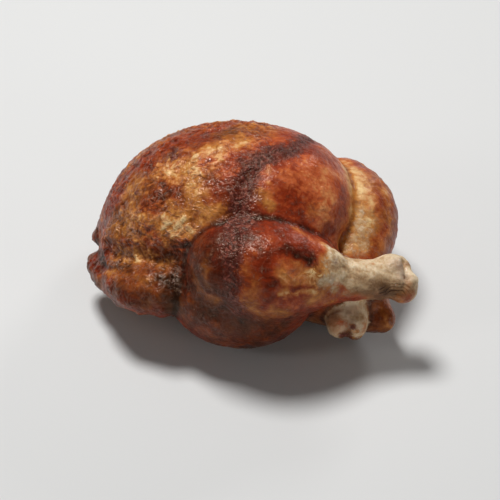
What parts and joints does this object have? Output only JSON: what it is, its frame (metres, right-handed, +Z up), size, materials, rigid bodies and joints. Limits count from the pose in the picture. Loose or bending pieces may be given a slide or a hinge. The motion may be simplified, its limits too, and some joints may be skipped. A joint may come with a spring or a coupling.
{
  "type": "rotisserie chicken",
  "caption": "Whole roast chicken lying breast up with crossed legs, folded wings, a crease across the breast and glossy browned skin, resting on a flat spot under its back.",
  "frame": {"origin": "on the flat spot that the bird rests on, under the middle of its back", "axes": "+X from the neck end to the tail end, +Z up to the breast, -Y to the bird's right side, whose leg lies on top"},
  "size_m": [0.1918, 0.1428, 0.1033],
  "materials": {
    "roasted_skin": "glossy, browned unevenly"
  },
  "bodies": {
    "root": {"chicken": "roasted_skin"}
  },
  "joints": []
}
